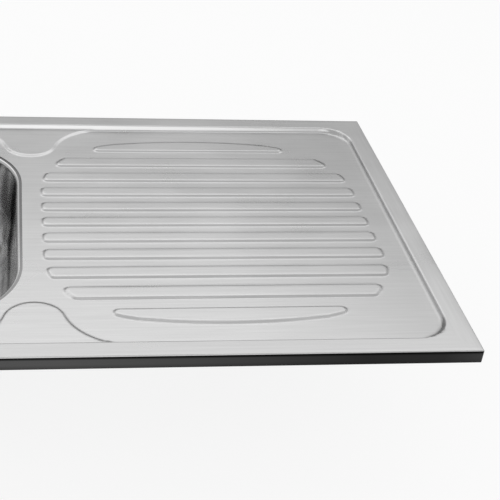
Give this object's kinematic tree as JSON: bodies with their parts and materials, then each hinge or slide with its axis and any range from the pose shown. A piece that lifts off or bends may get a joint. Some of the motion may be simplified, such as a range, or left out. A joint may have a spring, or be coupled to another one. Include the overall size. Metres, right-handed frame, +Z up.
{
  "type": "kitchen sink with drainboard",
  "caption": "Sit-on stainless kitchen sink: deep rectangular bowl on the left, ribbed drainboard on the right, folded rim, basket strainer waste and overflow.",
  "frame": {"origin": "middle of the sink in plan, on the underside of the apron's turned-in return, which is the plane where it sits on the cabinet", "axes": "+X along the sink's length towards the drainboard, +Y from front to back, +Z up out of the bowl"},
  "size_m": [1, 0.6, 0.2547],
  "materials": {
    "deck_steel": "fine brushed stainless sheet",
    "bowl_steel": "polished stainless, deep drawn",
    "polished_steel": "polished stainless fittings",
    "zinc_steel": "bright zinc-plated steel",
    "damping": "matt bituminous damping pad",
    "seal_rubber": "black rubber",
    "waste_plastic": "white polypropylene",
    "nut_plastic": "grey-white polypropylene"
  },
  "bodies": {
    "sink": {"sink_top": "deck_steel", "bowl": "bowl_steel", "bowl_pad": "damping", "drainer_pad": "damping", "drainer_stiffeners": "zinc_steel", "corner_plates": "zinc_steel", "strainer_cup": "polished_steel", "flange_seal": "seal_rubber", "waste_seal": "seal_rubber", "waste_body": "waste_plastic", "clamp_screw": "zinc_steel", "overflow_rose": "polished_steel", "overflow_screw": "polished_steel", "overflow_seal": "seal_rubber", "overflow_body": "waste_plastic", "overflow_pipe": "waste_plastic", "pipe_nut_top": "nut_plastic", "pipe_nut_bottom": "nut_plastic", "pipe_seal_top": "seal_rubber", "pipe_seal_bottom": "seal_rubber"},
    "basket": {"strainer_basket": "polished_steel"},
    "stopper": {"basket_stem": "polished_steel", "stopper_seal": "seal_rubber", "lift_knob": "polished_steel"}
  },
  "joints": [
    {"name": "basket_lift", "type": "slide", "parent": "sink", "child": "basket", "axis": [0, 0, 1], "range_m": [0, 0.2]},
    {"name": "stopper_lift", "type": "slide", "parent": "basket", "child": "stopper", "axis": [0, 0, 1], "range_m": [0, 0.006]}
  ]
}
